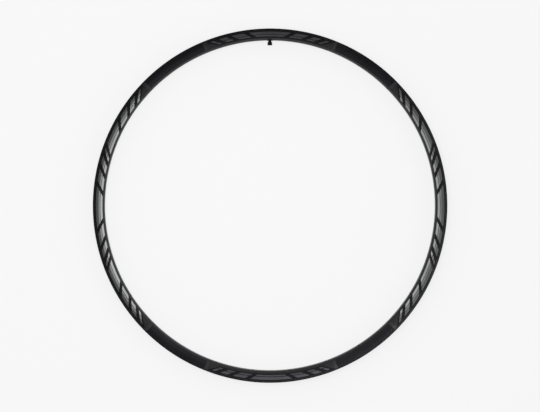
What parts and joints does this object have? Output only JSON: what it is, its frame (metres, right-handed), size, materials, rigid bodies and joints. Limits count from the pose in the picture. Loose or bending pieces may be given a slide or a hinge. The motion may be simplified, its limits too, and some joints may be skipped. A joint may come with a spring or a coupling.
{
  "type": "bicycle rim",
  "caption": "Hollow alloy bicycle rim with hooked flanges, a drop-centre tyre channel, staggered spoke holes, a plugged valve hole and printed label films on one side wall.",
  "frame": {"origin": "the wheel's centre, midway between the two side walls", "axes": "+Z along the wheel's axis, out of the side wall with the labels; +Y through the valve hole"},
  "size_m": [0.6333, 0.6334, 0.0291],
  "materials": {
    "black_anodised": "matte bead-blasted and anodised",
    "short_label": "satin printed film",
    "long_label": "satin printed film",
    "black_rubber": "matte moulded"
  },
  "bodies": {
    "root": {"rim_hoop": "black_anodised", "label_top": "short_label", "label_bottom": "short_label", "label_left": "long_label", "label_right": "long_label", "valve_hole_plug": "black_rubber"}
  },
  "joints": []
}
